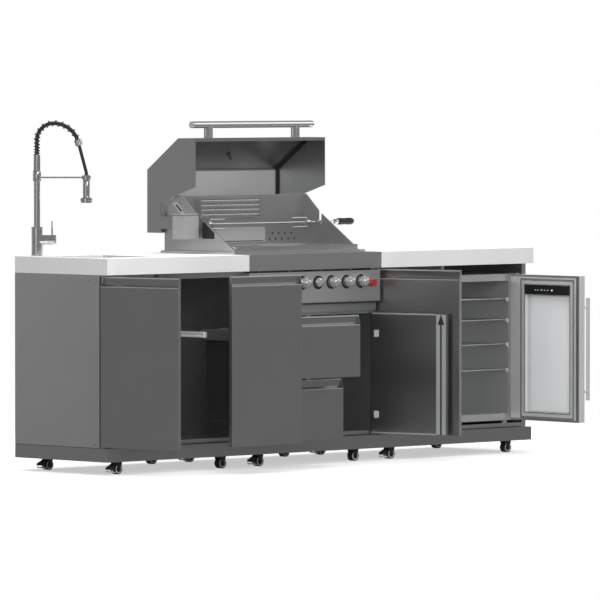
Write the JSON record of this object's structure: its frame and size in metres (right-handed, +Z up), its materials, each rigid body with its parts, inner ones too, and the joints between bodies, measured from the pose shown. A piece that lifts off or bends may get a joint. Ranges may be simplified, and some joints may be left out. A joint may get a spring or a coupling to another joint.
{
  "type": "outdoor kitchen island",
  "caption": "Outdoor kitchen island on casters with sink and sprung tap, waste pull-out, hooded gas grill with rotisserie, drawers, doors and a glass-door fridge.",
  "frame": {"origin": "on the floor, under the middle of the box around the whole island with its doors, drawers and hood open", "axes": "+X along the front from the sink to the fridge, +Y from the front to the back, +Z up"},
  "size_m": [2.581, 1.0528, 1.485],
  "materials": {
    "anthracite_paint": "matt powder coat",
    "worktop_stone": "honed",
    "steel": "brushed",
    "polished_steel": "polished",
    "grate_iron": "enamelled",
    "black_plastic": "matt",
    "black_rubber": "satin",
    "fridge_paint": "satin",
    "door_glass": "clear",
    "red_plastic": "gloss",
    "caster_zinc": "satin",
    "wheel_rubber": "matt"
  },
  "bodies": {
    "cabinet": {"plinth": "anthracite_paint", "sink_cabinet": "anthracite_paint", "grill_cabinet": "anthracite_paint", "fridge_cabinet": "anthracite_paint", "sink_worktop": "worktop_stone", "fridge_worktop": "worktop_stone", "grill_fascia": "steel", "sink_bowl": "steel", "hinge_pins": "steel", "control_panel": "steel", "firebox": "steel", "grill_burners": "steel", "cooking_grates": "grate_iron", "rotisserie_motor": "black_plastic", "fridge_body": "fridge_paint", "fridge_shelves": "steel", "tap_body": "steel", "rigid_caster_forks": "caster_zinc"},
    "hood": {"hood_shell": "steel", "hood_handle": "steel", "thermometer": "steel"},
    "spit": {"spit": "steel"},
    "sink_door": {"sink_door": "anthracite_paint"},
    "waste_drawer": {"waste_pull_out": "anthracite_paint", "waste_bin": "black_plastic"},
    "upper_drawer": {"upper_drawer": "anthracite_paint"},
    "lower_drawer": {"lower_drawer": "anthracite_paint"},
    "grill_door": {"grill_door": "anthracite_paint"},
    "fridge_side_door": {"fridge_side_door": "anthracite_paint"},
    "fridge_door": {"fridge_door": "fridge_paint", "fridge_door_glass": "door_glass"},
    "drip_tray": {"drip_tray": "steel"},
    "tap_spout": {"tap_arm": "steel", "tap_hose": "black_rubber", "spray_head": "steel"},
    "tap_lever": {"tap_lever": "steel"},
    "igniter_button": {"igniter_button": "polished_steel"},
    "rear_burner_knob": {"rear_burner_knob": "red_plastic"},
    "burner_knob_one": {"burner_knob_one": "polished_steel"},
    "burner_knob_two": {"burner_knob_two": "polished_steel"},
    "burner_knob_three": {"burner_knob_three": "polished_steel"},
    "burner_knob_four": {"burner_knob_four": "polished_steel"},
    "sink_left_front_swivel": {"sink_left_front_caster_fork": "caster_zinc"},
    "sink_left_rear_swivel": {"sink_left_rear_caster_fork": "caster_zinc"},
    "grill_left_front_swivel": {"grill_left_front_caster_fork": "caster_zinc"},
    "grill_left_rear_swivel": {"grill_left_rear_caster_fork": "caster_zinc"},
    "fridge_left_front_swivel": {"fridge_left_front_caster_fork": "caster_zinc"},
    "fridge_left_rear_swivel": {"fridge_left_rear_caster_fork": "caster_zinc"},
    "sink_left_front_wheel": {"sink_left_front_caster_wheel": "wheel_rubber"},
    "sink_left_rear_wheel": {"sink_left_rear_caster_wheel": "wheel_rubber"},
    "grill_left_front_wheel": {"grill_left_front_caster_wheel": "wheel_rubber"},
    "grill_left_rear_wheel": {"grill_left_rear_caster_wheel": "wheel_rubber"},
    "fridge_left_front_wheel": {"fridge_left_front_caster_wheel": "wheel_rubber"},
    "fridge_left_rear_wheel": {"fridge_left_rear_caster_wheel": "wheel_rubber"},
    "sink_right_front_wheel": {"sink_right_front_caster_wheel": "wheel_rubber"},
    "sink_right_rear_wheel": {"sink_right_rear_caster_wheel": "wheel_rubber"},
    "grill_right_front_wheel": {"grill_right_front_caster_wheel": "wheel_rubber"},
    "grill_right_rear_wheel": {"grill_right_rear_caster_wheel": "wheel_rubber"},
    "fridge_right_front_wheel": {"fridge_right_front_caster_wheel": "wheel_rubber"},
    "fridge_right_rear_wheel": {"fridge_right_rear_caster_wheel": "wheel_rubber"}
  },
  "joints": [
    {"name": "hood_hinge", "type": "hinge", "parent": "cabinet", "child": "hood", "pos_m": [-0.06455, 0.34194, 1.0385], "axis": [1, 0, 0], "range_deg": [0, 90]},
    {"name": "spit_turn", "type": "hinge", "parent": "cabinet", "child": "spit", "pos_m": [-0.06455, 0.23144, 1.033], "axis": [1, 0, 0], "continuous": true},
    {"name": "sink_door_hinge", "type": "hinge", "parent": "cabinet", "child": "sink_door", "pos_m": [-1.28055, -0.08156, 0.455], "axis": [0, 0, 1], "range_deg": [-25, 80]},
    {"name": "waste_slide", "type": "slide", "parent": "cabinet", "child": "waste_drawer", "axis": [0, -1, 0], "range_m": [-0.352, 0.048]},
    {"name": "upper_drawer_slide", "type": "slide", "parent": "cabinet", "child": "upper_drawer", "axis": [0, -1, 0], "range_m": [-0.3, 0.1]},
    {"name": "lower_drawer_slide", "type": "slide", "parent": "cabinet", "child": "lower_drawer", "axis": [0, -1, 0], "range_m": [-0.197, 0.203]},
    {"name": "grill_door_hinge", "type": "hinge", "parent": "cabinet", "child": "grill_door", "pos_m": [0.32145, -0.08156, 0.355], "axis": [0, 0, 1], "range_deg": [-101.5, 0]},
    {"name": "fridge_side_door_hinge", "type": "hinge", "parent": "cabinet", "child": "fridge_side_door", "pos_m": [0.34845, -0.08156, 0.455], "axis": [0, 0, 1], "range_deg": [0, 77]},
    {"name": "fridge_door_hinge", "type": "hinge", "parent": "cabinet", "child": "fridge_door", "pos_m": [1.20145, -0.09756, 0.455], "axis": [0, 0, 1], "range_deg": [-87, 18]},
    {"name": "drip_tray_slide", "type": "slide", "parent": "cabinet", "child": "drip_tray", "axis": [0, -1, 0], "range_m": [0, 0.3]},
    {"name": "tap_spout_swivel", "type": "hinge", "parent": "cabinet", "child": "tap_spout", "pos_m": [-1.19455, 0.42244, 1.031], "axis": [0, 0, 1], "range_deg": [-90, 90]},
    {"name": "tap_lever_turn", "type": "hinge", "parent": "cabinet", "child": "tap_lever", "pos_m": [-1.15168, 0.38046, 0.976], "axis": [0.7145, -0.6997, 0], "range_deg": [-60, 60]},
    {"name": "burner_knob_one_turn", "type": "hinge", "parent": "cabinet", "child": "burner_knob_one", "pos_m": [-0.14455, -0.13756, 0.783], "axis": [0, -1, 0], "range_deg": [0, 270]},
    {"name": "burner_knob_two_turn", "type": "hinge", "parent": "cabinet", "child": "burner_knob_two", "pos_m": [0.03045, -0.13756, 0.783], "axis": [0, -1, 0], "range_deg": [0, 270]},
    {"name": "burner_knob_three_turn", "type": "hinge", "parent": "cabinet", "child": "burner_knob_three", "pos_m": [0.12245, -0.13756, 0.783], "axis": [0, -1, 0], "range_deg": [0, 270]},
    {"name": "burner_knob_four_turn", "type": "hinge", "parent": "cabinet", "child": "burner_knob_four", "pos_m": [0.20945, -0.13756, 0.783], "axis": [0, -1, 0], "range_deg": [0, 270]},
    {"name": "rear_burner_knob_turn", "type": "hinge", "parent": "cabinet", "child": "rear_burner_knob", "pos_m": [0.27245, -0.12756, 0.775], "axis": [0, -1, 0], "range_deg": [0, 90]},
    {"name": "igniter_push", "type": "slide", "parent": "cabinet", "child": "igniter_button", "axis": [0, 1, 0], "range_m": [0, 0.005], "stiffness_N_per_m": 400},
    {"name": "sink_left_front_swivel_turn", "type": "hinge", "parent": "cabinet", "child": "sink_left_front_swivel", "pos_m": [-1.18455, -0.04756, 0.055], "axis": [0, 0, 1], "continuous": true},
    {"name": "sink_left_front_wheel_turn", "type": "hinge", "parent": "sink_left_front_swivel", "child": "sink_left_front_wheel", "pos_m": [-1.17255, -0.04756, 0.022], "axis": [0, 1, 0], "continuous": true},
    {"name": "sink_left_rear_swivel_turn", "type": "hinge", "parent": "cabinet", "child": "sink_left_rear_swivel", "pos_m": [-1.18455, 0.38244, 0.055], "axis": [0, 0, 1], "continuous": true},
    {"name": "sink_left_rear_wheel_turn", "type": "hinge", "parent": "sink_left_rear_swivel", "child": "sink_left_rear_wheel", "pos_m": [-1.17255, 0.38244, 0.022], "axis": [0, 1, 0], "continuous": true},
    {"name": "grill_left_front_swivel_turn", "type": "hinge", "parent": "cabinet", "child": "grill_left_front_swivel", "pos_m": [-0.35855, -0.04756, 0.055], "axis": [0, 0, 1], "continuous": true},
    {"name": "grill_left_front_wheel_turn", "type": "hinge", "parent": "grill_left_front_swivel", "child": "grill_left_front_wheel", "pos_m": [-0.34655, -0.04756, 0.022], "axis": [0, 1, 0], "continuous": true},
    {"name": "grill_left_rear_swivel_turn", "type": "hinge", "parent": "cabinet", "child": "grill_left_rear_swivel", "pos_m": [-0.35855, 0.38244, 0.055], "axis": [0, 0, 1], "continuous": true},
    {"name": "grill_left_rear_wheel_turn", "type": "hinge", "parent": "grill_left_rear_swivel", "child": "grill_left_rear_wheel", "pos_m": [-0.34655, 0.38244, 0.022], "axis": [0, 1, 0], "continuous": true},
    {"name": "fridge_left_front_swivel_turn", "type": "hinge", "parent": "cabinet", "child": "fridge_left_front_swivel", "pos_m": [0.43945, -0.04756, 0.055], "axis": [0, 0, 1], "continuous": true},
    {"name": "fridge_left_front_wheel_turn", "type": "hinge", "parent": "fridge_left_front_swivel", "child": "fridge_left_front_wheel", "pos_m": [0.45145, -0.04756, 0.022], "axis": [0, 1, 0], "continuous": true},
    {"name": "fridge_left_rear_swivel_turn", "type": "hinge", "parent": "cabinet", "child": "fridge_left_rear_swivel", "pos_m": [0.43945, 0.38244, 0.055], "axis": [0, 0, 1], "continuous": true},
    {"name": "fridge_left_rear_wheel_turn", "type": "hinge", "parent": "fridge_left_rear_swivel", "child": "fridge_left_rear_wheel", "pos_m": [0.45145, 0.38244, 0.022], "axis": [0, 1, 0], "continuous": true},
    {"name": "sink_right_front_wheel_turn", "type": "hinge", "parent": "cabinet", "child": "sink_right_front_wheel", "pos_m": [-0.56855, -0.04756, 0.022], "axis": [0, 1, 0], "continuous": true},
    {"name": "sink_right_rear_wheel_turn", "type": "hinge", "parent": "cabinet", "child": "sink_right_rear_wheel", "pos_m": [-0.56855, 0.38244, 0.022], "axis": [0, 1, 0], "continuous": true},
    {"name": "grill_right_front_wheel_turn", "type": "hinge", "parent": "cabinet", "child": "grill_right_front_wheel", "pos_m": [0.22945, -0.04756, 0.022], "axis": [0, 1, 0], "continuous": true},
    {"name": "grill_right_rear_wheel_turn", "type": "hinge", "parent": "cabinet", "child": "grill_right_rear_wheel", "pos_m": [0.22945, 0.38244, 0.022], "axis": [0, 1, 0], "continuous": true},
    {"name": "fridge_right_front_wheel_turn", "type": "hinge", "parent": "cabinet", "child": "fridge_right_front_wheel", "pos_m": [1.18545, -0.04756, 0.022], "axis": [0, 1, 0], "continuous": true},
    {"name": "fridge_right_rear_wheel_turn", "type": "hinge", "parent": "cabinet", "child": "fridge_right_rear_wheel", "pos_m": [1.18545, 0.38244, 0.022], "axis": [0, 1, 0], "continuous": true}
  ]
}
